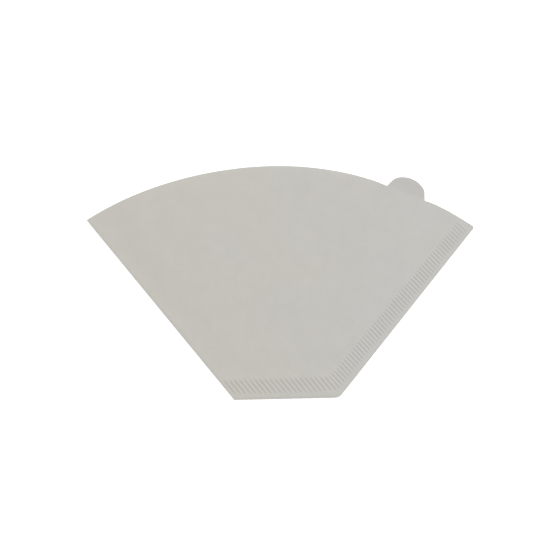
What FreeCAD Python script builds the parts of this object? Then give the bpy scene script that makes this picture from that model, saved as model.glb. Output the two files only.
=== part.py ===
import FreeCAD, Part
import os
from dataclasses import dataclass
from math import atan2, cos, pi, radians, sin, sqrt, tan

import Sketcher
from FreeCAD import Placement, Rotation, Vector

# Paper coffee filter for a wedge-shaped dripper, lying flat. Millimetres and degrees.
#
# One sheet is folded in two along its left side. The two plies are crimped together along
# the right side and along the base, and stay open at the curved mouth, where the front ply
# stands up in a very shallow dome. The back ply carries a lift tab outside the mouth.
#
# X runs across the filter, Y from the base to the mouth, and Z up through the paper. While
# the filter is drawn, X = 0 is the pocket's axis and Y = 0 the middle of the base edge. The
# finished piece is moved so that its origin is the middle of its box, at the underside.

SIZES = {
    # Fan: the pocket widens evenly from the base to the mouth
    "lean_angle": 38.9,         # lean of the fold and of the side seam away from the axis
    "pocket_base": 36.4,        # from the fold to the side seam, along the base edge
    "crown_height": 104.7,      # from the base edge to the top of the mouth, on the axis
    "mouth_radius": 160.0,      # arc of the mouth, centred on the axis
    "side_seam": 8.4,           # from the cut side edge to the pocket
    "base_seam": 9.2,           # from the base edge to the pocket
    "base_skew": 0.8,           # the base edge rises towards the side seam
    "base_round": 4.3,          # cut corner between the base and the side
    "mouth_round": 1.0,         # cut corner between the side and the mouth
    # Paper
    "paper": 0.2,               # one ply
    "ply_gap": 0.1,             # between the plies beside the fold and the seams
    "mouth_rise": 1.0,          # dome of the front ply at the middle of the mouth
    # Lift tab
    "tab_angle": 22.15,         # place on the mouth's arc, from the axis
    "tab_width": 16.6,
    "tab_height": 6.0,          # outside the arc
    "tab_shoulder": 5.0,        # radius of its two corners
    # Crimp lines, pressed in from both faces
    "crimp_width": 0.9,
    "crimp_depth": 0.2,
    "crimp_clearance": 0.3,     # from the lines' inner ends to the pocket
    # Crimps of the side seam
    "side_pitch": 1.615,        # along the cut edge
    "side_slant": 8.0,          # the lines' inner ends lean towards the mouth
    "side_margin": 2.2,         # plain border outside the lines
    "side_start": 3.8,          # first line, from the base corner
    "side_end": 3.3,            # plain length left at the mouth
    # Crimps of the base seam
    "base_pitch": 2.3,          # along the base edge
    "base_slant": 38.0,         # the lines' inner ends lean towards the fold
    "base_margin": 2.9,         # plain border outside the lines
    "base_start": 2.8,          # first line, from the fold
    "base_end": 7.6,            # length left to the side seam's lines
}

NODE = "filter_paper"
PARTS_FOLDER = "parts"

# A sketch's own references, and the points of its curves
ORIGIN = (-1, 1)
X_AXIS, Y_AXIS = -1, -2
START, END, CENTRE = 1, 2, 3

QUARTER_TURN = pi / 2
UP = Vector(0, 0, 1)

# Features that take paper away
CUTS = ("PartDesign::Pocket", "PartDesign::Groove", "PartDesign::LinearPattern")

# Places that several features share, as formulas in the sheet's names

FLAT_THICKNESS = "(2 * sizes.paper + sizes.ply_gap)"
OVERRUN = "(sizes.base_seam / 2)"
FOLD_OFFSET = "(sizes.pocket_base / 2 * cos(sizes.lean_angle))"
EDGE_OFFSET = f"({FOLD_OFFSET} + sizes.side_seam)"
PAST_FOLD = f"({FOLD_OFFSET} + {OVERRUN})"
PAST_MOUTH = f"(sizes.crown_height + {OVERRUN})"
MOUTH_DEPTH = "(sizes.mouth_radius - sizes.crown_height)"

# The dome reaches the fold and the side seam, less the rounding of the fold
DOME_REACH = f"({FOLD_OFFSET} + sizes.crown_height * sin(sizes.lean_angle) - {FLAT_THICKNESS})"
DOME_RADIUS = f"(({DOME_REACH} ^ 2 + sizes.mouth_rise ^ 2) / (2 * sizes.mouth_rise))"


@dataclass
class Seam:
    """Where a row of crimp lines lies, as formulas in the sheet's names."""

    name: str
    edge: str        # edge of the die outline that the row follows
    heading: str     # direction of that edge, from the X axis
    offset: str      # the edge's distance from the drawing's origin, inwards
    width: str
    margin: str
    slant: str       # turn of the lines from square to the edge, anticlockwise
    pitch: str
    first: str       # places along the edge, from the foot of the drawing's origin
    last: str


def side_seam():
    """Seam from the base corner up to the mouth."""
    corner = f"{EDGE_OFFSET} * tan(sizes.lean_angle + sizes.base_skew)"
    across_mouth = f"({EDGE_OFFSET} - {MOUTH_DEPTH} * sin(sizes.lean_angle))"
    mouth = (
        f"sqrt(sizes.mouth_radius ^ 2 - {across_mouth} ^ 2)"
        f" - {MOUTH_DEPTH} * cos(sizes.lean_angle)"
    )
    return Seam(
        name="side",
        edge="Edge3",
        heading="(90 - sizes.lean_angle)",
        offset=f"-{EDGE_OFFSET}",
        width="sizes.side_seam",
        margin="sizes.side_margin",
        slant="-sizes.side_slant",
        pitch="sizes.side_pitch",
        first=f"({corner} + sizes.side_start)",
        last=f"({mouth} - sizes.side_end)",
    )


def base_seam():
    """Seam from the fold to the side seam's lines, measured along the middle of its lines."""
    fold_lean = "(sizes.lean_angle - sizes.base_skew)"
    edge_lean = "(sizes.lean_angle + sizes.base_skew)"
    middle = "(sizes.base_margin + sizes.base_seam - sizes.crimp_clearance) / 2"
    fold = f"-{FOLD_OFFSET} / cos({fold_lean}) - {middle} * tan({fold_lean})"
    edge = f"{EDGE_OFFSET} / cos({edge_lean}) + {middle} * tan({edge_lean})"
    return Seam(
        name="base",
        edge="Edge1",
        heading="sizes.base_skew",
        offset="0",
        width="sizes.base_seam",
        margin="sizes.base_margin",
        slant="sizes.base_slant",
        pitch="sizes.base_pitch",
        first=f"({fold} + sizes.base_start)",
        last=f"({edge} - sizes.base_end)",
    )


# Sketching

def fill_sheet(doc):
    """Put every driving dimension in a spreadsheet, under its own alias."""
    sheet = doc.addObject("Spreadsheet::Sheet", "sizes")
    for row, (alias, value) in enumerate(SIZES.items(), start=1):
        sheet.set(f"A{row}", alias)
        sheet.set(f"B{row}", str(value))
        sheet.setAlias(f"B{row}", alias)
    doc.recompute()
    return sheet


def value_of(sheet, formula):
    """What a formula in the sheet's names comes to."""
    return float(sheet.evalExpression(formula))


def new_sketch(body, name, plane, shift=(None, None, None), turn=None):
    """Sketch on one of the body's origin planes, moved and turned by formulas."""
    sketch = body.newObject("Sketcher::SketchObject", name)
    support = next(item for item in body.Origin.OriginFeatures if item.Role == plane)
    sketch.AttachmentSupport = [(support, "")]
    sketch.MapMode = "FlatFace"
    if turn is not None:
        axis, formula = turn
        sketch.AttachmentOffset = Placement(Vector(), Rotation(axis, 1))
        sketch.setExpression("AttachmentOffset.Rotation.Angle", formula)
    for coordinate, formula in zip("xyz", shift):
        if formula is not None:
            sketch.setExpression(f"AttachmentOffset.Base.{coordinate}", formula)
    return sketch


def relate(sketch, *relations):
    """Add geometric constraints."""
    sketch.addConstraint([Sketcher.Constraint(*relation) for relation in relations])


def hold(sketch, sheet, name, formula, kind, *points):
    """Add a dimension and bind it to a formula."""
    guess = value_of(sheet, formula)
    if kind == "Angle":
        guess = radians(guess)
    index = sketch.addConstraint(Sketcher.Constraint(kind, *points, guess))
    sketch.renameConstraint(index, name)
    sketch.setExpression(f"Constraints.{name}", formula)


def line(start, end):
    return Part.LineSegment(Vector(*start, 0), Vector(*end, 0))


def arc(centre, radius, start_angle, end_angle):
    return Part.ArcOfCircle(Part.Circle(Vector(*centre, 0), UP, radius), start_angle, end_angle)


def add_polygon(sketch, corners):
    """Draw a closed polygon and return the index of its first side."""
    first = sketch.GeometryCount
    following = corners[1:] + corners[:1]
    sketch.addGeometry([line(start, end) for start, end in zip(corners, following)], False)
    for side in range(len(corners)):
        next_side = (side + 1) % len(corners)
        relate(sketch, ("Coincident", first + side, END, first + next_side, START))
    return first


# Features

def add_folded_web(body, sheet):
    """Two plies joined by the rounded fold, wider and longer than the filter."""
    sketch = new_sketch(
        body, "web_section", "XZ_Plane",
        shift=("-sizes.pocket_base / 2", None, None),
        turn=(Vector(0, 1, 0), "sizes.lean_angle"),
    )
    web_width = f"({FOLD_OFFSET} + sizes.mouth_radius + sizes.side_seam)"
    thickness = value_of(sheet, FLAT_THICKNESS)
    width = value_of(sheet, web_width)
    radius = thickness / 2
    sketch.addGeometry([
        arc((radius, radius), radius, QUARTER_TURN, 3 * QUARTER_TURN),
        line((radius, 0), (width, 0)),
        line((width, 0), (width, thickness)),
        line((width, thickness), (radius, thickness)),
    ], False)
    fold, bottom, end, top = range(4)
    relate(
        sketch,
        ("Tangent", fold, END, bottom, START),
        ("Coincident", bottom, END, end, START),
        ("Coincident", end, END, top, START),
        ("Tangent", top, END, fold, START),
        ("Horizontal", bottom),
        ("Vertical", end),
        ("PointOnObject", bottom, START, X_AXIS),
    )
    hold(sketch, sheet, "thickness", FLAT_THICKNESS, "DistanceY", end, START, end, END)
    hold(sketch, sheet, "fold_place", f"{FLAT_THICKNESS} / 2", "DistanceX", *ORIGIN, fold, CENTRE)
    hold(sketch, sheet, "web_width", web_width, "DistanceX", *ORIGIN, bottom, END)
    web = body.newObject("PartDesign::Pad", "folded_web")
    web.Profile = sketch
    web.Midplane = True
    web.setExpression("Length", f"2 * {PAST_MOUTH} / cos(sizes.lean_angle)")


def add_dome(body, sheet, kind, name, bottom, top):
    """Shallow dome about the upright line through the top of the mouth, on a round plinth."""
    sketch = new_sketch(body, f"{name}_section", "XZ_Plane", shift=(None, None, "-sizes.crown_height"))
    reach = value_of(sheet, DOME_REACH)
    radius = value_of(sheet, DOME_RADIUS)
    low = value_of(sheet, bottom)
    high = value_of(sheet, top)
    peak = high + value_of(sheet, "sizes.mouth_rise")
    sketch.addGeometry([
        line((0, low), (reach, low)),
        line((reach, low), (reach, high)),
        arc((0, peak - radius), radius, atan2(high - peak + radius, reach), QUARTER_TURN),
        line((0, peak), (0, low)),
    ], False)
    foot, plinth, dome, axis = range(4)
    relate(
        sketch,
        ("Coincident", foot, END, plinth, START),
        ("Coincident", plinth, END, dome, START),
        ("Coincident", dome, END, axis, START),
        ("Coincident", axis, END, foot, START),
        ("Horizontal", foot),
        ("Vertical", plinth),
        ("PointOnObject", axis, START, Y_AXIS),
        ("PointOnObject", axis, END, Y_AXIS),
        ("PointOnObject", dome, CENTRE, Y_AXIS),
    )
    hold(sketch, sheet, "bottom", bottom, "DistanceY", *ORIGIN, foot, START)
    hold(sketch, sheet, "top", top, "DistanceY", *ORIGIN, plinth, END)
    hold(sketch, sheet, "reach", DOME_REACH, "DistanceX", *ORIGIN, foot, END)
    hold(sketch, sheet, "radius", DOME_RADIUS, "Radius", dome)
    feature = body.newObject(kind, name)
    feature.Profile = sketch
    feature.ReferenceAxis = (sketch, ["V_Axis"])
    feature.Angle = 360


def add_pocket_slot(body, sheet):
    """Narrow space between the plies, from the base seam out through the mouth."""
    sketch = new_sketch(body, "pocket_outline", "XY_Plane", shift=(None, None, "sizes.paper"))
    near = value_of(sheet, "sizes.base_seam")
    far = value_of(sheet, PAST_MOUTH)
    lean = radians(value_of(sheet, "sizes.lean_angle"))
    half = value_of(sheet, "sizes.pocket_base / 2")
    fold_half = half - value_of(sheet, "sizes.paper") / cos(lean)
    base = add_polygon(sketch, [
        (-fold_half - near * tan(lean), near),
        (half + near * tan(lean), near),
        (half + far * tan(lean), far),
        (-fold_half - far * tan(lean), far),
    ])
    seam, past_mouth, fold = range(base + 1, base + 4)
    relate(sketch, ("Horizontal", base), ("Horizontal", past_mouth))
    hold(sketch, sheet, "base_place", "sizes.base_seam", "DistanceY", *ORIGIN, base, START)
    hold(sketch, sheet, "far_place", PAST_MOUTH, "DistanceY", *ORIGIN, past_mouth, START)
    hold(sketch, sheet, "seam_lean", "90 - sizes.lean_angle", "Angle", seam)
    hold(sketch, sheet, "fold_lean", "sizes.lean_angle - 90", "Angle", fold)
    hold(sketch, sheet, "seam_place", FOLD_OFFSET, "Distance", *ORIGIN, seam)
    hold(sketch, sheet, "fold_place", f"{FOLD_OFFSET} - sizes.paper", "Distance", *ORIGIN, fold)
    slot = body.newObject("PartDesign::Pocket", "pocket_slot")
    slot.Profile = sketch
    slot.Reversed = True
    slot.setExpression("Length", "sizes.ply_gap")


def along(normal, offset, distance):
    """Point on the line that lies at an offset along its normal, a distance to the normal's left."""
    return (normal[0] * offset - normal[1] * distance, normal[1] * offset + normal[0] * distance)


def add_die_cut(body, sheet):
    """Cut the base, the side, the mouth and the rounded corners, and leave the fold whole."""
    sketch = new_sketch(body, "die_outline", "XY_Plane")
    lean = radians(value_of(sheet, "sizes.lean_angle"))
    skew = radians(value_of(sheet, "sizes.base_skew"))
    past_fold = value_of(sheet, PAST_FOLD)
    edge = value_of(sheet, EDGE_OFFSET)
    depth = value_of(sheet, MOUTH_DEPTH)
    mouth_radius = value_of(sheet, "sizes.mouth_radius")
    base_round = value_of(sheet, "sizes.base_round")
    mouth_round = value_of(sheet, "sizes.mouth_round")

    # Outward normals of the base, the side and the line past the fold
    base_normal = (sin(skew), -cos(skew))
    side_normal = (cos(lean), -sin(lean))
    left_normal = (-cos(lean), -sin(lean))

    # The rounded corners' centres lie at their radius inside both edges
    base_run = (edge - base_round) / cos(lean + skew) - base_round * tan(lean + skew)
    base_corner = along(base_normal, -base_round, base_run)
    mouth_run = sqrt((mouth_radius - mouth_round) ** 2 - (edge - mouth_round - depth * sin(lean)) ** 2)
    mouth_corner = along(side_normal, edge - mouth_round, mouth_run - depth * cos(lean))
    left_run = sqrt(mouth_radius ** 2 - (past_fold - depth * sin(lean)) ** 2)
    left_top = along(left_normal, past_fold, depth * cos(lean) - left_run)
    left_bottom = along(left_normal, past_fold, -past_fold * tan(lean - skew))

    mouth_start = atan2(mouth_corner[1] + depth, mouth_corner[0])
    mouth_end = atan2(left_top[1] + depth, left_top[0])
    base_end = (base_corner[0] + base_normal[0] * base_round, base_corner[1] + base_normal[1] * base_round)
    side_start, side_end = (
        (x + side_normal[0] * radius, y + side_normal[1] * radius)
        for (x, y), radius in ((base_corner, base_round), (mouth_corner, mouth_round))
    )
    sketch.addGeometry([
        line(left_bottom, base_end),
        arc(base_corner, base_round, skew - QUARTER_TURN, -lean),
        line(side_start, side_end),
        arc(mouth_corner, mouth_round, -lean, mouth_start),
        arc((0, -depth), mouth_radius, mouth_start, mouth_end),
        line(left_top, left_bottom),
    ], False)
    base, base_arc, side, mouth_arc, mouth, left = range(6)
    relate(
        sketch,
        ("Tangent", base, END, base_arc, START),
        ("Tangent", base_arc, END, side, START),
        ("Tangent", side, END, mouth_arc, START),
        ("Tangent", mouth_arc, END, mouth, START),
        ("Coincident", mouth, END, left, START),
        ("Coincident", left, END, base, START),
        ("PointOnObject", *ORIGIN, base),
        ("PointOnObject", mouth, CENTRE, Y_AXIS),
    )
    hold(sketch, sheet, "skew", "sizes.base_skew", "Angle", base)
    hold(sketch, sheet, "side_lean", "90 - sizes.lean_angle", "Angle", side)
    hold(sketch, sheet, "side_place", EDGE_OFFSET, "Distance", *ORIGIN, side)
    hold(sketch, sheet, "left_lean", "sizes.lean_angle - 90", "Angle", left)
    hold(sketch, sheet, "left_place", PAST_FOLD, "Distance", *ORIGIN, left)
    hold(sketch, sheet, "mouth_depth", MOUTH_DEPTH, "DistanceY", mouth, CENTRE, *ORIGIN)
    hold(sketch, sheet, "mouth_radius", "sizes.mouth_radius", "Radius", mouth)
    hold(sketch, sheet, "base_round", "sizes.base_round", "Radius", base_arc)
    hold(sketch, sheet, "mouth_round", "sizes.mouth_round", "Radius", mouth_arc)

    # Everything between this outline and a wide square is cut away
    square_side = "(4 * sizes.mouth_radius)"
    reach = value_of(sheet, square_side) / 2
    bottom = add_polygon(sketch, [(-reach, -reach), (reach, -reach), (reach, reach), (-reach, reach)])
    right, top, far_left = range(bottom + 1, bottom + 4)
    relate(
        sketch,
        ("Horizontal", bottom),
        ("Vertical", right),
        ("Horizontal", top),
        ("Vertical", far_left),
        ("Symmetric", bottom, START, right, END, *ORIGIN),
        ("Equal", bottom, right),
    )
    hold(sketch, sheet, "square_side", square_side, "DistanceX", bottom, START, bottom, END)

    die = body.newObject("PartDesign::Pocket", "die_cut")
    die.Profile = sketch
    die.Type = "ThroughAll"
    die.Reversed = True
    return sketch


def add_lift_tab(body, sheet):
    """Rounded tab that the back ply carries outside the mouth."""
    sketch = new_sketch(
        body, "tab_outline", "XY_Plane",
        shift=(
            "sizes.mouth_radius * sin(sizes.tab_angle)",
            f"sizes.mouth_radius * cos(sizes.tab_angle) - {MOUTH_DEPTH}",
            None,
        ),
        turn=(UP, "-sizes.tab_angle"),
    )
    # The tab's foot lies on the ply, well inside the mouth's arc
    tab_foot = "sizes.tab_width / 4"
    inset = "(sizes.tab_width / 2 - sizes.tab_shoulder)"
    tab_crown = (
        f"({inset} ^ 2 + sizes.tab_height ^ 2 - sizes.tab_shoulder ^ 2)"
        " / (2 * (sizes.tab_height - sizes.tab_shoulder))"
    )
    half = value_of(sheet, "sizes.tab_width / 2")
    height = value_of(sheet, "sizes.tab_height")
    shoulder = value_of(sheet, "sizes.tab_shoulder")
    foot = value_of(sheet, tab_foot)
    crown = value_of(sheet, tab_crown)
    meeting = atan2(crown - height, half - shoulder)
    sketch.addGeometry([
        line((-half, -foot), (half, -foot)),
        line((half, -foot), (half, 0)),
        arc((half - shoulder, 0), shoulder, 0, meeting),
        arc((0, height - crown), crown, meeting, pi - meeting),
        arc((shoulder - half, 0), shoulder, pi - meeting, pi),
        line((-half, 0), (-half, -foot)),
    ], False)
    chord, right, right_arc, top, left_arc, left = range(6)
    relate(
        sketch,
        ("Coincident", chord, END, right, START),
        ("Tangent", right, END, right_arc, START),
        ("Tangent", right_arc, END, top, START),
        ("Tangent", top, END, left_arc, START),
        ("Tangent", left_arc, END, left, START),
        ("Coincident", left, END, chord, START),
        ("Symmetric", chord, START, chord, END, Y_AXIS),
        ("Vertical", right),
        ("Vertical", left),
        ("PointOnObject", right_arc, CENTRE, X_AXIS),
        ("PointOnObject", top, CENTRE, Y_AXIS),
        ("Equal", right_arc, left_arc),
    )
    hold(sketch, sheet, "width", "sizes.tab_width", "DistanceX", chord, START, chord, END)
    hold(sketch, sheet, "foot", tab_foot, "DistanceY", chord, START, *ORIGIN)
    hold(sketch, sheet, "shoulder", "sizes.tab_shoulder", "Radius", right_arc)
    hold(sketch, sheet, "crown", tab_crown, "Radius", top)
    tab = body.newObject("PartDesign::Pad", "lift_tab")
    tab.Profile = sketch
    tab.setExpression("Length", "sizes.paper")


def add_crimps(body, sheet, seam, die_outline, on_front):
    """Row of grooves along a seam, on the front or, half a pitch further on, on the back."""
    name = f"{seam.name}_{'front' if on_front else 'back'}"
    first = seam.first if on_front else f"({seam.first} + {seam.pitch} / 2)"
    last = seam.last if on_front else f"({seam.last} - {seam.pitch} / 2)"
    depth = f"({seam.width} - {seam.margin} - sizes.crimp_clearance)"
    middle = f"({seam.offset} + {seam.margin} + {depth} / 2)"
    east = f"{first} * cos({seam.heading}) - {middle} * sin({seam.heading})"
    north = f"{first} * sin({seam.heading}) + {middle} * cos({seam.heading})"
    sketch = new_sketch(
        body, f"{name}_section", "XZ_Plane",
        shift=(east, None, f"-({north})"),
        turn=(Vector(0, 1, 0), f"{seam.heading} + {seam.slant}"),
    )
    # The triangle stands as far out of the paper as it cuts in
    tip = f"{FLAT_THICKNESS} - sizes.crimp_depth" if on_front else "sizes.crimp_depth"
    outward = 1 if on_front else -1
    point = value_of(sheet, tip)
    half = outward * value_of(sheet, "sizes.crimp_width")
    wide = point + outward * 2 * value_of(sheet, "sizes.crimp_depth")
    flank = add_polygon(sketch, [(0, point), (half, wide), (-half, wide)])
    open_side = flank + 1
    relate(
        sketch,
        ("PointOnObject", flank, START, Y_AXIS),
        ("Symmetric", open_side, START, open_side, END, Y_AXIS),
    )
    upward = (flank, START, flank, END) if on_front else (flank, END, flank, START)
    rightward = (open_side, END, open_side, START) if on_front else (open_side, START, open_side, END)
    hold(sketch, sheet, "tip", tip, "DistanceY", *ORIGIN, flank, START)
    hold(sketch, sheet, "height", "2 * sizes.crimp_depth", "DistanceY", *upward)
    hold(sketch, sheet, "width", "2 * sizes.crimp_width", "DistanceX", *rightward)

    groove = body.newObject("PartDesign::Pocket", f"{name}_groove")
    groove.Profile = sketch
    groove.Midplane = True
    groove.Refine = False
    groove.setExpression("Length", f"{depth} / cos({seam.slant})")
    row = body.newObject("PartDesign::LinearPattern", f"{name}_row")
    row.Originals = [groove]
    row.Direction = (die_outline, [seam.edge])
    row.Mode = "Spacing"
    row.Refine = False
    row.setExpression("Offset", seam.pitch)
    row.setExpression("Occurrences", f"floor(({last} - {first}) / {seam.pitch}) + 1")
    body.Tip = row


# The piece

def add_filter_paper(doc, sheet):
    """The folded, cut and crimped sheet."""
    body = doc.addObject("PartDesign::Body", NODE)
    body.Label = NODE
    add_folded_web(body, sheet)
    add_dome(body, sheet, "PartDesign::Revolution", "front_dome", f"{FLAT_THICKNESS} / 2", FLAT_THICKNESS)
    add_pocket_slot(body, sheet)
    gap_middle = "sizes.paper + sizes.ply_gap / 2"
    gap_top = "sizes.paper + sizes.ply_gap"
    add_dome(body, sheet, "PartDesign::Groove", "pocket_dome", gap_middle, gap_top)
    die_outline = add_die_cut(body, sheet)
    add_lift_tab(body, sheet)
    for seam in (side_seam(), base_seam()):
        for on_front in (True, False):
            add_crimps(body, sheet, seam, die_outline, on_front)
    doc.recompute()
    box = body.Shape.optimalBoundingBox(True, False)
    body.Placement.Base = Vector(-box.Center.x, -box.Center.y, -box.ZMin)
    doc.recompute()
    return body


def check(doc, body):
    """Stop if a feature failed, changed nothing, or left no sound solid."""
    for item in doc.Objects:
        if "Invalid" in item.State or "Error" in item.State:
            raise RuntimeError(f"{item.Name} failed: {item.State}")
    volume = 0.0
    for feature in body.Group:
        if feature.isDerivedFrom("PartDesign::Feature"):
            grown = feature.Shape.Volume > volume
            if grown == (feature.TypeId in CUTS):
                raise RuntimeError(f"{feature.Name} works the wrong way")
            volume = feature.Shape.Volume
    if body.Shape.isNull() or not body.Shape.isValid() or len(body.Shape.Solids) != 1:
        raise RuntimeError(f"{body.Label} is not one sound solid")


def main():
    doc = FreeCAD.newDocument("coffee_filter")
    sheet = fill_sheet(doc)
    body = add_filter_paper(doc, sheet)
    check(doc, body)
    os.makedirs(PARTS_FOLDER, exist_ok=True)
    body.Shape.exportStep(f"{PARTS_FOLDER}/{body.Label}.step")
    print(f"{body.Label}: {body.Shape.Volume:.1f} mm3, {len(body.Shape.Faces)} faces")


main()
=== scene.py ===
from math import atan2, ceil, cos, pi, radians, sin, sqrt, tan

import bpy
import numpy as np
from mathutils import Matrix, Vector, noise
from mathutils.geometry import delaunay_2d_cdt


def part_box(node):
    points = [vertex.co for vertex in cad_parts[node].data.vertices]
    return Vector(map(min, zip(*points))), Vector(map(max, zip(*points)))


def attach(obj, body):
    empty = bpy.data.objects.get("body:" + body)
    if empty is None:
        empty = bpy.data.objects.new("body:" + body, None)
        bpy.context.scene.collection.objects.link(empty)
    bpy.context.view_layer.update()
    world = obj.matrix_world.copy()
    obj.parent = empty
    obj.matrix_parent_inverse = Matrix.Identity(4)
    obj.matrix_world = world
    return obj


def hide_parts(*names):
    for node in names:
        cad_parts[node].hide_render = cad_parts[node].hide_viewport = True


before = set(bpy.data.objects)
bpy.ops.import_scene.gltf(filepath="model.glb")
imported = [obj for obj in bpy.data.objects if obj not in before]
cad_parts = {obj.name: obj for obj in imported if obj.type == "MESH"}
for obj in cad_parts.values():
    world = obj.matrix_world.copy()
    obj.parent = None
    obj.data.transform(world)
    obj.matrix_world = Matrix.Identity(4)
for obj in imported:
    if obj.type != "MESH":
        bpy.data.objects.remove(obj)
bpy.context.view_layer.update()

# Paper coffee filter for a wedge-shaped dripper, lying flat.
#
# The filter is drawn in millimetres. X = 0 is the pocket's axis, Y = 0 the middle of the base
# edge, and Z = 0 the surface that it lies on. The middle of the paper is worked out first, as
# one thin sheet that runs over the front ply, round the fold and over the back ply. It then
# gets its thickness, and goes to its place in the frame in metres.

MM = 0.001
NODE = "filter_paper"

# Fan, as the solid has it
LEAN = radians(38.9)            # lean of the fold and of the side edge away from the axis
POCKET_BASE = 36.4              # from the fold to the side seam, along the base edge
CROWN_HEIGHT = 104.7            # from the base edge to the top of the mouth, on the axis
MOUTH_RADIUS = 160.0            # arc of the mouth, centred on the axis
SIDE_SEAM = 8.4                 # from the cut side edge to the pocket
BASE_SEAM = 9.2                 # from the base edge to the pocket
BASE_SKEW = radians(0.8)        # the base edge rises towards the side seam
BASE_ROUND = 4.3                # cut corner between the base and the side
MOUTH_ROUND = 1.0               # cut corner between the side and the mouth

# Lift tab
TAB_ANGLE = radians(22.15)      # place on the mouth's arc, from the axis
TAB_WIDTH = 16.6
TAB_HEIGHT = 6.0                # outside the arc
TAB_SHOULDER = 5.0              # radius of its two corners
TAB_FLARE = radians(30.0)       # its sides spread towards its foot
TAB_SLOPE = 0.19                # it bends up just outside the mouth
TAB_BEND = 0.6                  # half the length of the bend
TAB_BEND_PLACE = 0.2            # outside the arc
TAB_EASE = 0.0115               # its tip lies flatter again
TAB_HOLD = 12.0                 # the plies lie close together up to here inside the mouth
TAB_HOLD_ASIDE = 20.0           # and to both sides of it

# Paper
PAPER = 0.2                     # one ply
PLY_GAP = 0.1                   # between the plies at the fold
SEAM_GAP = 0.03                 # between the plies where they are crimped together
FOLD_RADIUS = PAPER + PLY_GAP / 2
RIM_ROUND = 0.03                # worn corners of the cut edge
LOFT = 0.15                     # the front ply stands off the back ply inside the pocket
LOFT_RAMP = 15.0                # from the fold and the seams
DOME_FOOT = 0.3                 # the front ply's dome runs out softly below this share of its rise
BUCKLE = 0.10                   # broad waves of the plies
BUCKLE_LENGTH = 38.0
BUCKLE_SEED = 3.7               # of the waves that both plies share
LOFT_SEED = 9.2                 # of the front ply's own waves

# Edges of the pocket
SEAM_LIFT = 0.13                # the seams and the fold stand off the table
SEAM_LIFT_RAMP = 3.0            # the lift runs out over this width inside the pocket
EDGE_ROLL = 1.7                 # the cut edges bend down over this width
PARTING = 1.0                   # the plies begin to part this far before a seam ends
PARTING_RAMP = 2.0              # and have the fold's gap at this distance inside the pocket
MOUTH_DROP = 0.16               # the front ply droops at the mouth
MOUTH_ROLL = (-0.55, 2.2)       # fully at the first depth inside the arc, not at the second
FOLD_BULGE = 0.03               # the stiff fold holds the plies apart beside it
FOLD_ROLL = 1.0                 # the bulge grows over this width
FOLD_BULGE_END = (3.0, 12.0)    # and runs out between these distances from the fold

# The mouth's cut edge strays a little from its arc
MOUTH_STRAY = 0.18
STRAY_LENGTH = radians(36.0)
STRAY_LOW = radians(-11.0)      # where it lies furthest inside the arc
STRAY_END = radians(-34.5)      # the straying ends here at the fold, and at the tab's middle
STRAY_FADE = radians(5.0)
FOOT_DIP = 0.72                 # the edge lies this far inside its arc at the tab
FOOT_ANGLE = radians(3.3)       # up to here from the tab's middle
FOOT_LEFT = radians(2.2)        # the hollow runs out over about twice this
FOOT_RIGHT = radians(1.3)
STRAY_INSIDE = 8.0              # the paper follows its edge up to here inside the arc
STRAY_OUTSIDE = 3.0             # and outside it

# Crimp lines: the sheet's wave, common to both plies. Each row counts its lines from 0
CRIMP_FADE = 1.4                # soft ends of a line
CRIMP_UNEVEN = 0.08             # spread of the lines' strengths
CRIMP_SEED = 5
SPARE_LINES = 2                 # strengths for points before the first and after the last line
ROW_FADE = 0.25                 # a row ends over twice this, in lines
ROW_CLEAR = (1.5, 2.5)          # it fades out this near to the other seam's cut edge
FOLD_CLEAR = (0.3, 1.5)         # and this near to the fold
SIDE_PALER = 0.2                # the side seam's rows are darkened less than the base seam's
BASE_EDGE_SHADE_DEPTH = 0.8               # painted shade along the base edge's cut, which faces away from the lamp
BASE_EDGE_SHADE_WIDTH = 0.8

# Crimps of the side seam. Places are along the cut edge from the base corner, at mid depth
SIDE_HEIGHT = 0.075
SIDE_FIRST = 3.86
SIDE_PITCH = 1.6965
SIDE_PITCH_LOSS = 0.001517      # the pitch shrinks towards the mouth
SIDE_COUNT = 57
SIDE_END = SIDE_COUNT - 0.5     # half way from the last line to the next
SIDE_WEAK_LINES = (48, 55)      # the last lines are pressed less
SIDE_WEAKNESS = 0.3
SIDE_MIDDLE = 5.0               # mid depth
SIDE_OUTER = (2.9, 2.0)         # at the base and from half way on
SIDE_INNER = (9.1, 7.3)         # at the base and at the mouth
SIDE_SLOPE = (0.16, 0.10)       # the lines' inner ends lean towards the mouth

# Crimps of the base seam. Places are along the base edge from the fold, at mid depth
BASE_HEIGHT = 0.1
BASE_FIRST = -1.97
BASE_PITCH = 2.29
BASE_COUNT = 21
BASE_END = BASE_COUNT - 0.5
BASE_MIDDLE = 5.85              # mid depth
BASE_OUTER = (2.7, 3.5)         # up to the first and from the second of two lines
BASE_OUTER_LINES = (15, 19)
BASE_INNER = (8.6, 9.4)         # at the fold and at the side seam
BASE_SLOPE = tan(radians(38.0))  # the lines' inner ends lean towards the fold

# Mesh steps and limits
EDGE_STEP = 0.9
ROUND_STEP = 0.35
EDGE_ROWS = (0.15, 0.4, 0.7, 1.05, 1.5)     # distances inside the outline
FIELD_STEP = 2.4
FIELD_SIDES = (-90, 95)         # the pocket's lattice is laid out between these X
FIELD_CLEAR = 2.5               # and keeps this distance from the seams
TAB_STEP = 0.6
STEPS_PER_LINE = 8
LINE_STEP = 0.45                # along a crimp line
SIDE_LATTICE_START = -0.5       # the seams' lattices start at these lines
BASE_LATTICE_START = -2.0
SIDE_LATTICE_PAST = 1.5         # and reach this far past their seam
BASE_LATTICE_PAST = 1.0
FOLD_STEPS = 8
INSIDE_OUTLINES = 1             # the triangulation keeps what lies inside its outlines
SAME_POINT = 1e-6
SHARP_ANGLE = radians(40)

# Places of two runs in the fan's outline
TAB_FOOT_RUN = 5
FOLD_RUN = 7

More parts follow.
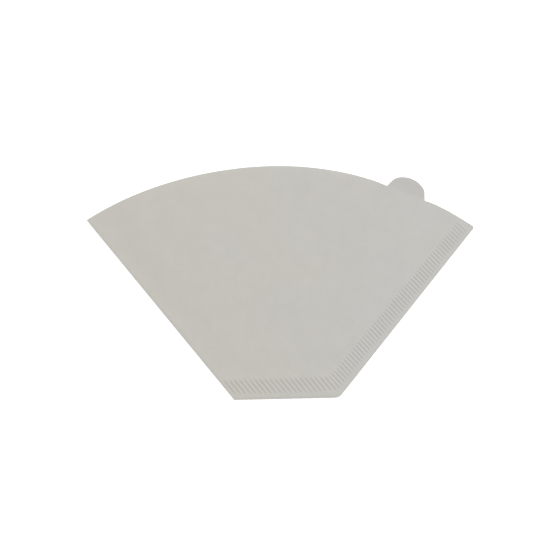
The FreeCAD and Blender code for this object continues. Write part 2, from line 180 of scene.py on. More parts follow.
# Look of the paper. A noise has the size of its blots in millimetres, its detail and its
# distortion
PAPER_SHINE = 0.25
WARM_TONE = (0.5687, 0.552, 0.504, 1)
NEUTRAL_TONE = (0.565, 0.5515, 0.5245, 1)
TONE_REACH = 60.0               # the tone changes up to here on both sides of the middle
TONE_DRIFT = 0.8                # how far the clouds shift it
TONE_NOISE = (30, 2, 0)
PULP_NOISE = (7, 3, 0.5)
PULP_DEPTH = 0.038
FIBRE_NOISE = (0.8, 4, 2.5)
FIBRE_DEPTH = 0.08
MATT_NOISE = (1.2, 3, 1)
ROUGHNESS = (0.9, 0.12)         # its middle, and how far it varies
FELT_NOISE = (0.9, 5, 2.0)
FELT_STRENGTH = 0.35
FELT_HEIGHT = 0.03
NOISE_ROUGHNESS = 0.55
SHADE_AND_PRESS_LEVEL = 0.945           # share of its lightness that the paper keeps where pressing and painted shade darken it fully

# Camera, light and floor. The lamp's and the floor's sizes are in metres
VIEW_WIDTH = 252.0              # what the picture's width shows
LENS = 150.0
SENSOR = 36.0
VIEW_SHIFT = (-0.30, 1.25)      # the middle of the picture, from the middle of the filter
VIEW_ROLL = radians(-0.49)
KEY_HEADING = radians(50.0)     # the lamp stands beyond the mouth, towards the side seam
KEY_HEIGHT = radians(45.0)
KEY_DISTANCE = 6.0
KEY_SIZE = 3.0
KEY_SHARE = 0.5                 # of the light on a level white surface, the rest is the room's
FLOOR_HALF = 3.0
FLOOR_DROP = 0.02 * MM          # keeps its face apart from the paper's
FLOOR_TONE = 0.9
FLOOR_GLOW = 0.5                # what makes it white to the eye


# Plan

def heading(angle):
    return np.array([cos(angle), sin(angle)])


FOLD_NORMAL = heading(pi + LEAN)
SIDE_NORMAL = heading(-LEAN)
BASE_NORMAL = heading(BASE_SKEW - pi / 2)
BASE_ALONG = heading(BASE_SKEW)
SIDE_ALONG = heading(pi / 2 - LEAN)
FOLD_OFFSET = POCKET_BASE / 2 * cos(LEAN)
SIDE_OFFSET = FOLD_OFFSET + SIDE_SEAM
MOUTH_CENTRE = np.array([0.0, CROWN_HEIGHT - MOUTH_RADIUS])


def meeting(normal_a, offset_a, normal_b, offset_b):
    """Where two lines meet, each given by its normal and its distance along it."""
    return np.linalg.solve(np.array([normal_a, normal_b]), np.array([offset_a, offset_b]))


def on_mouth(normal, offset, radius):
    """Where a line meets a circle about the mouth's centre, on the mouth's side."""
    away = offset - normal @ MOUTH_CENTRE
    run = sqrt(radius ** 2 - away ** 2)
    along = np.array([-normal[1], normal[0]])
    ends = [MOUTH_CENTRE + normal * away + along * side * run for side in (1, -1)]
    return max(ends, key=lambda end: end[1])


def angle_of(point, centre):
    return atan2(point[1] - centre[1], point[0] - centre[0])


def straight(start, end, step):
    """Points from start up to, but without, end."""
    count = max(1, ceil(np.linalg.norm(end - start) / step))
    return start + np.linspace(0, 1, count, endpoint=False)[:, None] * (end - start)


def arc(centre, radius, start, end, step):
    """Points of an arc from the start angle up to, but without, the end angle."""
    count = max(1, ceil(radius * abs(end - start) / step))
    angles = np.linspace(start, end, count, endpoint=False)
    return centre + radius * np.stack([np.cos(angles), np.sin(angles)], axis=1)


BASE_CORNER = meeting(BASE_NORMAL, 0, SIDE_NORMAL, SIDE_OFFSET)
FOLD_FOOT = meeting(FOLD_NORMAL, FOLD_OFFSET, BASE_NORMAL, 0)
BASE_ROUND_CENTRE = meeting(BASE_NORMAL, -BASE_ROUND, SIDE_NORMAL, SIDE_OFFSET - BASE_ROUND)


def tab_point(across, outward):
    """Plan point from its place beside and beyond the tab's middle on the mouth's arc."""
    outwards = heading(pi / 2 - TAB_ANGLE)
    beside = heading(-TAB_ANGLE)
    return MOUTH_CENTRE + outwards * (MOUTH_RADIUS + outward) + beside * across


def tab_outline(step):
    """The tab's edge from its right foot to its left, and the mouth's angle at its right foot."""
    inset = TAB_WIDTH / 2 - TAB_SHOULDER
    crown = (inset ** 2 + TAB_HEIGHT ** 2 - TAB_SHOULDER ** 2) / (2 * (TAB_HEIGHT - TAB_SHOULDER))
    meet_angle = atan2(crown - TAB_HEIGHT, inset)
    flare_top = (inset, 0) + TAB_SHOULDER * heading(TAB_FLARE)
    downwards = heading(TAB_FLARE - pi / 2)
    reach = flare_top + (0, MOUTH_RADIUS)
    past_middle = reach @ downwards
    run = -past_middle - sqrt(past_middle ** 2 - reach @ reach + MOUTH_RADIUS ** 2)
    foot = flare_top + downwards * run
    foot_angle = atan2(foot[1] + MOUTH_RADIUS, foot[0])
    right = np.concatenate([
        straight(foot, flare_top, step),
        arc((inset, 0), TAB_SHOULDER, TAB_FLARE, meet_angle, step),
        arc((0, TAB_HEIGHT - crown), crown, meet_angle, pi / 2, step),
    ])
    left = right[::-1] * (-1, 1)
    local = np.concatenate([right, [(0, TAB_HEIGHT)], left])
    return np.array([tab_point(*point) for point in local]), foot_angle - TAB_ANGLE


TAB_EDGE, TAB_RIGHT_ANGLE = tab_outline(ROUND_STEP)
TAB_LEFT_ANGLE = pi - 2 * TAB_ANGLE - TAB_RIGHT_ANGLE


def fan_outline(inset):
    """Outline of the front ply moved inwards, in runs that go round with the paper on their left.

    The runs are the base, its corner, the side, its corner at the mouth, the mouth in three
    parts with the tab's foot as the middle one, and the fold."""
    low_left = meeting(FOLD_NORMAL, FOLD_OFFSET - FOLD_RADIUS - inset, BASE_NORMAL, -inset)
    top_left = on_mouth(FOLD_NORMAL, FOLD_OFFSET - FOLD_RADIUS - inset, MOUTH_RADIUS - inset)
    base_inset = max(BASE_ROUND, inset)
    top_inset = max(MOUTH_ROUND, inset)
    base_centre = meeting(BASE_NORMAL, -base_inset, SIDE_NORMAL, SIDE_OFFSET - base_inset)
    top_centre = on_mouth(SIDE_NORMAL, SIDE_OFFSET - top_inset, MOUTH_RADIUS - top_inset)
    base_radius = base_inset - inset
    top_radius = top_inset - inset
    base_end = base_centre + base_radius * BASE_NORMAL
    side_start = base_centre + base_radius * SIDE_NORMAL
    side_end = top_centre + top_radius * SIDE_NORMAL
    start_angle = angle_of(top_centre, MOUTH_CENTRE)
    end_angle = angle_of(top_left, MOUTH_CENTRE)
    stops = (start_angle, TAB_RIGHT_ANGLE, TAB_LEFT_ANGLE, end_angle)
    return [
        straight(low_left, base_end, EDGE_STEP),
        arc(base_centre, base_radius, BASE_SKEW - pi / 2, -LEAN, ROUND_STEP),
        straight(side_start, side_end, EDGE_STEP),
        arc(top_centre, top_radius, -LEAN, start_angle, ROUND_STEP),
        *(
            arc(MOUTH_CENTRE, MOUTH_RADIUS - inset, start, end, EDGE_STEP)
            for start, end in zip(stops, stops[1:])
        ),
        straight(top_left, low_left, EDGE_STEP),
    ]


# Distances inside the edges

def fold_depth(points):
    return FOLD_OFFSET - points @ FOLD_NORMAL


def side_depth(points):
    return SIDE_OFFSET - points @ SIDE_NORMAL


def base_depth(points):
    return -points @ BASE_NORMAL


def mouth_depth(points):
    return MOUTH_RADIUS - np.linalg.norm(points - MOUTH_CENTRE, axis=1)


def mouth_angle(points):
    """Angle about the mouth's centre, from the axis towards the side seam."""
    reach = points - MOUTH_CENTRE
    return np.arctan2(reach[:, 0], reach[:, 1])


def seam_edge_depth(points):
    """Distance inside the base edge and the side edge, with their round corner."""
    depth = np.minimum(side_depth(points), base_depth(points))
    reach = points - BASE_ROUND_CENTRE
    angles = np.arctan2(reach[:, 1], reach[:, 0])
    in_corner = (angles > BASE_SKEW - pi / 2) & (angles < -LEAN)
    return np.where(in_corner, BASE_ROUND - np.linalg.norm(reach, axis=1), depth)


def ramp(values, low, high):
    """Smooth step from 0 at low to 1 at high."""
    share = np.clip((values - low) / (high - low), 0, 1)
    return share * share * (3 - 2 * share)


def strayed(points):
    """The points with the mouth's cut edge moved off its arc."""
    angle = mouth_angle(points)
    depth = mouth_depth(points)
    wave = -MOUTH_STRAY * np.cos(2 * pi * (angle - STRAY_LOW) / STRAY_LENGTH)
    wave = wave * ramp(angle - STRAY_END, 0, STRAY_FADE) * ramp(TAB_ANGLE - angle, 0, STRAY_FADE)
    beyond_foot = np.maximum(np.abs(angle - TAB_ANGLE) - FOOT_ANGLE, 0)
    dip = FOOT_DIP * np.exp(-beyond_foot / np.where(angle < TAB_ANGLE, FOOT_LEFT, FOOT_RIGHT))
    near = ramp(-depth, -STRAY_INSIDE, 0) * ramp(depth, -STRAY_OUTSIDE, 0)
    away = np.stack([np.sin(angle), np.cos(angle)], axis=1)
    return points + away * ((wave - dip) * near)[:, None]


# Crimp lines

def between(values, ends):
    """Value that goes from the first end to the last as values go from 0 to 1."""
    return ends[0] + (ends[1] - ends[0]) * np.clip(values, 0, 1)


def row_share(place):
    """Share of the side seam's row that lies before a place."""
    return place / (SIDE_COUNT * SIDE_PITCH)


def side_line_of(points):
    """Number of the side seam's line at each point, with fractions between the lines."""
    place = (points - BASE_CORNER) @ SIDE_ALONG
    slope = between(row_share(place), SIDE_SLOPE)
    middle = place - (side_depth(points) - SIDE_MIDDLE) * slope
    root = SIDE_PITCH ** 2 - 4 * SIDE_PITCH_LOSS * (middle - SIDE_FIRST)
    return (SIDE_PITCH - np.sqrt(np.maximum(root, 0))) / (2 * SIDE_PITCH_LOSS)


def side_line_point(line, depth):
    middle = SIDE_FIRST + SIDE_PITCH * line - SIDE_PITCH_LOSS * line ** 2
    place = middle + (depth - SIDE_MIDDLE) * between(row_share(middle), SIDE_SLOPE)
    return BASE_CORNER + place * SIDE_ALONG - depth * SIDE_NORMAL


def base_line_of(points):
    """Number of the base seam's line at each point, with fractions between the lines."""
    place = (points - FOLD_FOOT) @ BASE_ALONG
    middle = place + (base_depth(points) - BASE_MIDDLE) * BASE_SLOPE
    return (middle - BASE_FIRST) / BASE_PITCH


def base_line_point(line, depth):
    place = BASE_FIRST + BASE_PITCH * line - (depth - BASE_MIDDLE) * BASE_SLOPE
    return FOLD_FOOT + place * BASE_ALONG - depth * BASE_NORMAL


def on_side_seam(points):
    """0 among the base seam's lines, 1 among the side seam's."""
    return ramp(base_line_of(points), BASE_END - ROW_FADE, BASE_END + ROW_FADE)


def band(depth, outer, inner):
    """1 within a seam's lines, with soft ends."""
    half = CRIMP_FADE / 2
    return ramp(depth, outer - half, outer + half) * ramp(inner - depth, -half, half)


def side_row(points):
    """1 within the side seam's lines, 0 around them."""
    line = side_line_of(points)
    outer = between(2 * line / SIDE_COUNT, SIDE_OUTER)
    inner = between(line / SIDE_COUNT, SIDE_INNER)
    row = band(side_depth(points), outer, inner) * ramp(SIDE_END - line, -ROW_FADE, ROW_FADE)
    return row * ramp(base_depth(points), *ROW_CLEAR)


def base_row(points):
    """1 within the base seam's lines, 0 around them."""
    line = base_line_of(points)
    outer = between(ramp(line, *BASE_OUTER_LINES), BASE_OUTER)
    inner = between(line / BASE_COUNT, BASE_INNER)
    row = band(base_depth(points), outer, inner) * ramp(fold_depth(points), *FOLD_CLEAR)
    return row * ramp(side_depth(points), *ROW_CLEAR)


def crimped_share(points):
    """1 within the lines of either seam, 0 around them."""
    on_base = base_row(points)
    return on_base + (side_row(points) - on_base) * on_side_seam(points)


def crimp_wave(points):
    """Height that the crimp lines add."""
    uneven = np.random.default_rng(CRIMP_SEED)
    count = BASE_COUNT + SIDE_COUNT + 2 * SPARE_LINES
    strengths = 1 + CRIMP_UNEVEN * uneven.standard_normal(count)
    base_line = base_line_of(points)
    side_line = side_line_of(points)
    on_side = on_side_seam(points)
    line = base_line + (side_line + BASE_COUNT - base_line) * on_side
    side_height = SIDE_HEIGHT * (1 - SIDE_WEAKNESS * ramp(side_line, *SIDE_WEAK_LINES))
    height = BASE_HEIGHT + (side_height - BASE_HEIGHT) * on_side
    number = np.clip(np.round(line).astype(int) + SPARE_LINES, 0, count - 1)
    return height * strengths[number] * crimped_share(points) * np.sin(2 * pi * line)


def press_and_shade_share(points):
    """How much the paper is darkened, from 0 to 1: pressed paper with painted shade in the crimp
    rows' grooves, and painted shade along the base edge.
    """
    rows = crimped_share(points) * (1 - SIDE_PALER * on_side_seam(points))
    # Painted shade along the base edge, which faces away from the lamp
    base_edge_shade = BASE_EDGE_SHADE_DEPTH * ramp(BASE_EDGE_SHADE_WIDTH - base_depth(points), 0, BASE_EDGE_SHADE_WIDTH / 2)
    return np.maximum(rows, base_edge_shade)


# Heights of the plies' middles above the table

def buckle(points, seed):
    """Broad gentle waves, from 0 to about the named height."""
    values = [
        noise.noise(Vector((x / BUCKLE_LENGTH, y / BUCKLE_LENGTH, seed)))
        for x, y in points
    ]
    return BUCKLE * (0.5 + np.clip(values, -0.5, 0.5))


def pocket_share(points, width):
    """0 at the fold and the seams, 1 from the given width on inside the pocket."""
    return (
        ramp(fold_depth(points), FOLD_RADIUS, FOLD_RADIUS + width)
        * ramp(side_depth(points), SIDE_SEAM - PARTING, SIDE_SEAM + width)
        * ramp(base_depth(points), BASE_SEAM - PARTING, BASE_SEAM + width)
    )


def beside_tab(points):
    """1 in line with the tab, 0 further along the mouth."""
    aside = MOUTH_RADIUS * np.abs(mouth_angle(points) - TAB_ANGLE)
    return 1 - ramp(aside, TAB_WIDTH / 2, TAB_WIDTH / 2 + TAB_HOLD_ASIDE)


def tab_curl(points):
    """Upward bend of the tab, which starts a little inside its foot."""
    outward = -mouth_depth(points)
    past_bend = outward - TAB_BEND_PLACE
    height = TAB_SLOPE * (past_bend + np.hypot(past_bend, TAB_BEND)) / 2
    height = height - TAB_EASE * np.maximum(outward, 0) ** 2
    return height * beside_tab(points)


def base_height(points):
    """Height of the back ply's middle where nothing holds it off the table."""
    seam = 1 - pocket_share(points, SEAM_LIFT_RAMP)
    rolled = np.clip(1 - seam_edge_depth(points) / EDGE_ROLL, 0, 1)
    lift = SEAM_LIFT * seam * (1 - rolled ** 2)
    broad = buckle(points, BUCKLE_SEED) * pocket_share(points, LOFT_RAMP)
    return PAPER / 2 + lift + crimp_wave(points) + broad + tab_curl(points)


def dome(points, rise):
    """Shallow dome of the front ply about the middle of the mouth."""
    reach = FOLD_OFFSET + CROWN_HEIGHT * sin(LEAN) - 2 * FOLD_RADIUS
    away = np.linalg.norm(points - (0, CROWN_HEIGHT), axis=1)
    share = np.maximum(1 - (away / reach) ** 2, 0)
    return rise * share * ramp(share, 0, DOME_FOOT)


def ply_spacing(points, rise):
    """From the middle of the back ply to the middle of the front ply."""
    lofted = pocket_share(points, LOFT_RAMP)
    from_fold = fold_depth(points)
    gap = SEAM_GAP + (PLY_GAP - SEAM_GAP) * pocket_share(points, PARTING_RAMP)
    fold_swell = FOLD_BULGE * ramp(from_fold, FOLD_RADIUS, FOLD_RADIUS + FOLD_ROLL)
    fold_swell = fold_swell * (1 - ramp(from_fold, *FOLD_BULGE_END))
    stand_off = (LOFT + buckle(points, LOFT_SEED)) * lofted
    drop = MOUTH_DROP * (1 - ramp(mouth_depth(points), *MOUTH_ROLL))
    drop = drop * lofted * (1 - beside_tab(points))
    return PAPER + gap + fold_swell + stand_off + dome(points, rise) - drop


def front_height(points, rise):
    return base_height(points) + ply_spacing(points, rise)


def back_height(points, rise):
    """The back ply rises to the front ply at the tab's foot."""
    held = beside_tab(points) * ramp(-mouth_depth(points), -TAB_HOLD, 0)
    return base_height(points) + held * (ply_spacing(points, rise) - PAPER - SEAM_GAP)


# Meshing

def triangulate(points, loops):
    """Triangles between the points, inside the closed loops of point numbers."""
    edges = [
        (int(start), int(end))
        for loop in loops
        for start, end in zip(loop, np.roll(loop, -1))
    ]
    _, _, faces, sources, _, _ = delaunay_2d_cdt(
        [Vector(point) for point in points], edges, [], INSIDE_OUTLINES, SAME_POINT
    )
    source = [numbers[0] for numbers in sources]
    return np.array([[source[corner] for corner in face] for face in faces])


def spread(low, high, step):
    """Triangular lattice over the box between two corners."""
    rows = np.arange(low[1], high[1], step * sqrt(3) / 2)
    return np.array([
        (x, y)
        for number, y in enumerate(rows)
        for x in np.arange(low[0] + step / 2 * (number % 2), high[0], step)
    ])


def seam_lattice():
    """Points along and across the crimp lines of the side seam, and of the base seam."""
    line_step = 1 / STEPS_PER_LINE
    first_depth = EDGE_ROWS[-1] + LINE_STEP
    side_lines = np.arange(SIDE_LATTICE_START, SIDE_END + 1, line_step)
    side_depths = np.arange(first_depth, SIDE_SEAM + SIDE_LATTICE_PAST, LINE_STEP)
    base_lines = np.arange(BASE_LATTICE_START, BASE_END - line_step / 2, line_step)
    base_depths = np.arange(first_depth, BASE_SEAM + BASE_LATTICE_PAST, LINE_STEP)
    side = [side_line_point(line, depth) for line in side_lines for depth in side_depths]
    base = [base_line_point(line, depth) for line in base_lines for depth in base_depths]
    return np.array(side), np.array(base)


def pocket_lattice():
    lattice = spread((FIELD_SIDES[0], 0), (FIELD_SIDES[1], CROWN_HEIGHT), FIELD_STEP)
    past_side = side_depth(lattice) > SIDE_SEAM + FIELD_CLEAR
    past_base = base_depth(lattice) > BASE_SEAM + FIELD_CLEAR
    return lattice[past_side & past_base]


def fan_plan():
    """Plan points and triangles of the front ply, and where its outline's runs start."""
    points = []
    loops = []
    count = 0
    for inset in (0, *EDGE_ROWS):
        row = np.concatenate(fan_outline(inset))
        points.append(row)
        loops.append(np.arange(count, count + len(row)))
        count += len(row)
    for lattice in (*seam_lattice(), pocket_lattice()):
        depth = np.minimum.reduce([
            fold_depth(lattice) - FOLD_RADIUS,
            side_depth(lattice),
            base_depth(lattice),
            mouth_depth(lattice),
        ])
        points.append(lattice[depth > EDGE_ROWS[-1] + LINE_STEP / 2])
    points = np.concatenate(points)
    starts = np.cumsum([0, *(len(run) for run in fan_outline(0))])
    return points, triangulate(points, loops), starts


def tab_plan(fan_points, foot_numbers):
    """Further points of the tab, and triangles that also use the mouth's points at its foot."""
    foot = fan_points[foot_numbers]
    edge = TAB_EDGE[1:-1]
    lattice = spread((-TAB_WIDTH, 0), (TAB_WIDTH, TAB_HEIGHT), TAB_STEP)
    lattice = np.array([tab_point(*point) for point in lattice])
    edge_gap = np.linalg.norm(lattice[:, None] - edge[None], axis=2).min(axis=1)
    clear = (edge_gap > TAB_STEP / 2) & (mouth_depth(lattice) < -TAB_STEP / 2)
    own = np.concatenate([edge, lattice[clear]])
    points = np.concatenate([foot, own])
    edge_loop = np.arange(len(foot), len(foot) + len(edge))
    loop = np.concatenate([np.arange(len(foot))[::-1], edge_loop])
    triangles = triangulate(points, [loop])
    numbers = np.concatenate([foot_numbers, np.arange(len(own)) + len(fan_points)])
    return own, numbers[triangles]


def fold_outwards(shares):
    """Way out through the fold, per mm, at shares of its length from the mouth to the base edge."""
    inner = FOLD_OFFSET - FOLD_RADIUS
    at_base = [meeting(FOLD_NORMAL, inner + out, BASE_NORMAL, 0) for out in (0, 1)]
    at_mouth = [on_mouth(FOLD_NORMAL, inner + out, MOUTH_RADIUS) for out in (0, 1)]
    base_way = np.append(at_base[1] - at_base[0], 0)
    mouth_way = np.append(at_mouth[1] - at_mouth[0], 0)
    return mouth_way + shares[:, None] * (base_way - mouth_way)


def fold_rows(upper, lower):
    """Points of the half round fold, in rows from the front ply's edge to the back ply's."""
    radius = (upper[:, 2] - lower[:, 2]) / 2
    middle = (upper + lower) / 2
    outwards = fold_outwards(np.linspace(0, 1, len(upper)))
    turns = np.linspace(pi / 2, -pi / 2, FOLD_STEPS + 1)[1:-1]
    return np.stack([
        middle + outwards * (radius * cos(turn))[:, None] + np.outer(radius * sin(turn), (0, 0, 1))
        for turn in turns
    ], axis=1)


def strip_triangles(grid):
    """Triangles over a grid of point numbers.

    Each row lies across an edge. The rows go along it one after the other, with the sheet on
    their left."""
    here, following = grid[:-1], grid[1:]
    a, b, c, d = following[:, :-1], here[:, :-1], here[:, 1:], following[:, 1:]
    upper = np.stack([a, b, c], axis=-1).reshape(-1, 3)
    lower = np.stack([a, c, d], axis=-1).reshape(-1, 3)
    return np.concatenate([upper, lower])


def paper_middle(rise):
    """The sheet's middle surface: points, triangles and how much each point is darkened by pressing
    and by painted shade.
    """
    plan, triangles, starts = fan_plan()
    foot_numbers = np.arange(starts[TAB_FOOT_RUN], starts[TAB_FOOT_RUN + 1] + 1)
    tab_points, tab_triangles = tab_plan(plan, foot_numbers)
    back_plan = np.concatenate([plan, tab_points])
    back_triangles = np.concatenate([triangles, tab_triangles])
    front = np.column_stack([strayed(plan), front_height(plan, rise)])
    back = np.column_stack([strayed(back_plan), back_height(back_plan, rise)])

    # The fold joins both plies along the outline's last run, from the mouth to the base
    fold_numbers = np.append(np.arange(starts[FOLD_RUN], starts[FOLD_RUN + 1]), 0)
    fold = fold_rows(front[fold_numbers], back[fold_numbers])
    row_count, row_length, _ = fold.shape
    first_back = len(front)
    first_fold = first_back + len(back)
    own_numbers = first_fold + np.arange(row_count * row_length).reshape(row_count, row_length)
    grid = np.column_stack([fold_numbers, own_numbers, fold_numbers + first_back])
    points = np.concatenate([front, back, fold.reshape(-1, 3)])
    faces = np.concatenate([
        triangles,
        back_triangles[:, ::-1] + first_back,
        strip_triangles(grid),
    ])
    front_press_and_shade = press_and_shade_share(plan)
    back_press_and_shade = press_and_shade_share(back_plan)
    fold_press_and_shade = np.repeat(front_press_and_shade[fold_numbers], row_length)
    return points, faces, np.concatenate([front_press_and_shade, back_press_and_shade, fold_press_and_shade])


def without_loose(points, faces, values):
    """The same sheet without the points that no triangle uses."""
    used = np.unique(faces)
    return points[used], np.searchsorted(used, faces), values[used]


def unit(vectors):
    return vectors / np.linalg.norm(vectors, axis=1, keepdims=True)


def point_normals(points, faces):
    a, b, c = (points[faces[:, corner]] for corner in range(3))
    normals = np.zeros_like(points)
    for corner in range(3):
        np.add.at(normals, faces[:, corner], np.cross(b - a, c - a))
    return unit(normals)


def cut_edge(faces):
    """Point numbers round the sheet's free edge, with the sheet on their left."""
    sides = {(int(face[i]), int(face[(i + 1) % 3])) for face in faces for i in range(3)}
    following = {start: end for start, end in sides if (end, start) not in sides}
    loop = [min(following)]
    while following[loop[-1]] != loop[0]:
        loop.append(following[loop[-1]])
    return np.array(loop)


def thicken(points, faces, values):
    """Closed skin of a sheet of the paper's thickness, with a rounded cut edge."""
    normals = point_normals(points, faces)
    loop = cut_edge(faces)
    along = np.roll(points[loop], -1, axis=0) - np.roll(points[loop], 1, axis=0)
    outward = unit(np.cross(along, normals[loop]))
    upper = points + normals * PAPER / 2
    lower = points - normals * PAPER / 2
    upper[loop] -= outward * RIM_ROUND
    lower[loop] -= outward * RIM_ROUND
    flank = normals[loop] * (PAPER / 2 - RIM_ROUND)
    rim = [points[loop] + flank, points[loop] - flank]
    size = len(points)
    rim_numbers = 2 * size + np.arange(len(loop))
    grid = np.column_stack([loop, rim_numbers, rim_numbers + len(loop), loop + size])
    grid = np.concatenate([grid, grid[:1]])
    skin_points = np.concatenate([upper, lower, *rim])
    skin_faces = np.concatenate([faces, faces[:, ::-1] + size, strip_triangles(grid)])
    skin_values = np.concatenate([values, values, values[loop], values[loop]])
    return skin_points, skin_faces, skin_values


def add_object(name, data):
    piece = bpy.data.objects.new(name, data)
    bpy.context.scene.collection.objects.link(piece)
    return piece


def make_filter():
    low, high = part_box(NODE)
    rise = (high.z - low.z) / MM - 2 * FOLD_RADIUS - LOFT - BUCKLE
    points, faces, press_and_shade = thicken(*without_loose(*paper_middle(rise)))
    fold_top = on_mouth(FOLD_NORMAL, FOLD_OFFSET, MOUTH_RADIUS)
    shift = np.array([low.x / MM - fold_top[0], high.y / MM - CROWN_HEIGHT, low.z / MM])
    mesh = bpy.data.meshes.new("folded_filter")
    mesh.from_pydata(((points + shift) * MM).tolist(), [], faces.tolist())
    # The attribute carries the darkening of pressed paper and of painted shade
    attribute = mesh.attributes.new("press_and_shade", "FLOAT", "POINT")
    attribute.data.foreach_set("value", press_and_shade.astype(np.float32))
    mesh.shade_smooth()
    mesh.set_sharp_from_angle(angle=SHARP_ANGLE)
    return add_object("folded_filter", mesh)


# Materials

def set_inputs(node, values):
    for name, value in values.items():
        node.inputs[name].default_value = value


def add_node(tree, kind, values=None, **properties):
    """New node with its properties, and then the values of its inputs, set."""
    node = tree.nodes.new(kind)
    for name, value in properties.items():
        setattr(node, name, value)
    set_inputs(node, values or {})
    return node


def new_material(name):
    """Material with its node tree and its shader."""
    material = bpy.data.materials.new(name)
    material.use_nodes = True
    tree = material.node_tree
    return material, tree, tree.nodes["Principled BSDF"]


def combine(tree, operation, first, second):
    """Two values combined by a math node. The second may be a plain number."""
    node = add_node(tree, "ShaderNodeMath", operation=operation)
    tree.links.new(first, node.inputs[0])
    if isinstance(second, float):
        node.inputs[1].default_value = second
    else:
        tree.links.new(second, node.inputs[1])
    return node.outputs[0]


def map_range(tree, value, ends, **properties):
    """A value mapped from one range to another, each from 0 to 1 unless its ends are given."""
    node = add_node(tree, "ShaderNodeMapRange", ends, **properties)
    tree.links.new(value, node.inputs["Value"])
    return node.outputs["Result"]


def add_noise(tree, place, kind):
    size, detail, distortion = kind
    values = {
        "Scale": 1 / (size * MM),
        "Detail": detail,
        "Roughness": NOISE_ROUGHNESS,
        "Distortion": distortion,
    }
    texture = add_node(tree, "ShaderNodeTexNoise", values)
    tree.links.new(place, texture.inputs["Vector"])
    return texture.outputs["Fac"]


def varied(tree, place, kind, middle, reach):
    """Noise turned into values around the middle."""
    ends = {"To Min": middle - reach, "To Max": middle + reach}
    return map_range(tree, add_noise(tree, place, kind), ends, clamp=False)


def paper_material():
    """Matt off-white filter paper, darker where it is pressed, with painted shade in the crimp
    rows' grooves and along the base edge.
    """
    material, tree, shader = new_material("filter_paper")
    links = tree.links
    set_inputs(shader, {"Specular IOR Level": PAPER_SHINE})
    place = add_node(tree, "ShaderNodeTexCoord").outputs["Object"]
    press_and_shade = add_node(tree, "ShaderNodeAttribute", attribute_name="press_and_shade").outputs["Fac"]

    # Tone: from warm at the fold to neutral at the side seam, in broad soft clouds
    split = add_node(tree, "ShaderNodeSeparateXYZ")
    links.new(place, split.inputs["Vector"])
    sides = {"From Min": -TONE_REACH * MM, "From Max": TONE_REACH * MM}
    across = map_range(tree, split.outputs["X"], sides)
    drift = combine(tree, "ADD", across, varied(tree, place, TONE_NOISE, 0, TONE_DRIFT))
    tones = {"A": WARM_TONE, "B": NEUTRAL_TONE}
    tone = add_node(tree, "ShaderNodeMix", tones, data_type="RGBA")
    links.new(drift, tone.inputs["Factor"])

    # Level: clouds of pulp, fibres, and the darkening of pressed paper with painted shade in the
    # crimp grooves and along the base edge
    clouds = varied(tree, place, PULP_NOISE, 1, PULP_DEPTH)
    fibres = varied(tree, place, FIBRE_NOISE, 1, FIBRE_DEPTH)
    # Pressed paper's own darker tone, with painted shade in the crimp grooves and along the base
    # edge
    press_and_shade_level = map_range(tree, press_and_shade, {"To Min": 1, "To Max": SHADE_AND_PRESS_LEVEL})
    level = combine(tree, "MULTIPLY", combine(tree, "MULTIPLY", clouds, fibres), press_and_shade_level)
    colour = add_node(tree, "ShaderNodeVectorMath", operation="SCALE")
    links.new(tone.outputs["Result"], colour.inputs["Vector"])
    links.new(level, colour.inputs["Scale"])
    links.new(colour.outputs["Vector"], shader.inputs["Base Color"])

    # Felt-like surface of matted fibres
    links.new(varied(tree, place, MATT_NOISE, *ROUGHNESS), shader.inputs["Roughness"])
    felt = {"Strength": FELT_STRENGTH, "Distance": FELT_HEIGHT * MM}
    bump = add_node(tree, "ShaderNodeBump", felt)
    links.new(add_noise(tree, place, FELT_NOISE), bump.inputs["Height"])
    links.new(bump.outputs["Normal"], shader.inputs["Normal"])
    return material


def seen_rays(tree):
    """1 for what is seen directly, mirrored or through glass, 0 for what only gives light."""
    path = add_node(tree, "ShaderNodeLightPath")
    total = path.outputs["Is Camera Ray"]
    for name in ("Is Glossy Ray", "Is Transmission Ray"):
        total = combine(tree, "MAXIMUM", total, path.outputs[name])
    return total


# Surroundings

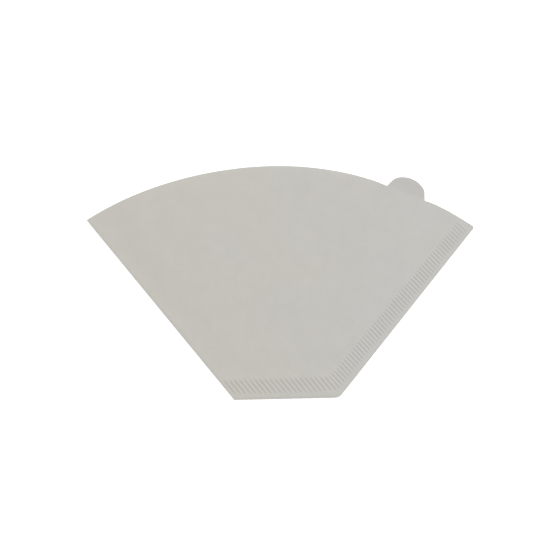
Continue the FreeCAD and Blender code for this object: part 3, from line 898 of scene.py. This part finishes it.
def add_floor():
    """Plain white table, which is white to the eye and keeps the object's soft shadow."""
    mesh = bpy.data.meshes.new("floor")
    signs = [(-1, -1), (1, -1), (1, 1), (-1, 1)]
    corners = [(x * FLOOR_HALF, y * FLOOR_HALF, -FLOOR_DROP) for x, y in signs]
    mesh.from_pydata(corners, [], [(0, 1, 2, 3)])
    floor = add_object("floor", mesh)
    material, tree, shader = new_material("floor")
    set_inputs(shader, {
        "Base Color": (FLOOR_TONE, FLOOR_TONE, FLOOR_TONE, 1),
        "Roughness": 1,
        "Specular IOR Level": 0,
        "Emission Color": (1, 1, 1, 1),
    })
    glow = combine(tree, "MULTIPLY", seen_rays(tree), FLOOR_GLOW)
    tree.links.new(glow, shader.inputs["Emission Strength"])
    mesh.materials.append(material)


def add_world():
    """Even room light, with a white background."""
    world = bpy.data.worlds.new("room")
    bpy.context.scene.world = world
    world.use_nodes = True
    tree = world.node_tree
    background = tree.nodes["Background"]
    set_inputs(background, {"Color": (1, 1, 1, 1)})
    strength = map_range(tree, seen_rays(tree), {"To Min": 1 - KEY_SHARE, "To Max": 1})
    tree.links.new(strength, background.inputs["Strength"])


def add_key_light():
    """Soft lamp, with the power for its share of the light on a level white surface."""
    lamp = bpy.data.lights.new("key", "AREA")
    lamp.shape = "DISK"
    lamp.size = KEY_SIZE
    lamp.energy = KEY_SHARE * (pi * KEY_DISTANCE) ** 2 / sin(KEY_HEIGHT)
    light = add_object("key", lamp)
    away = Vector((*(heading(KEY_HEADING) * cos(KEY_HEIGHT)), sin(KEY_HEIGHT)))
    light.location = away * KEY_DISTANCE
    light.rotation_euler = away.to_track_quat("Z", "Y").to_euler()


def add_camera():
    """Looks straight down."""
    scene = bpy.context.scene
    camera = bpy.data.cameras.new("camera")
    camera.lens = LENS
    camera.sensor_width = SENSOR
    view = add_object("camera", camera)
    distance = VIEW_WIDTH * LENS / SENSOR
    view.location = Vector((*VIEW_SHIFT, distance)) * MM
    view.rotation_euler = (0, 0, VIEW_ROLL)
    scene.camera = view
    scene.view_settings.view_transform = "Standard"


add_camera()
add_world()
add_key_light()
add_floor()

filter_piece = make_filter()
filter_piece.data.materials.append(paper_material())
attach(filter_piece, "root")
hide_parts(NODE)
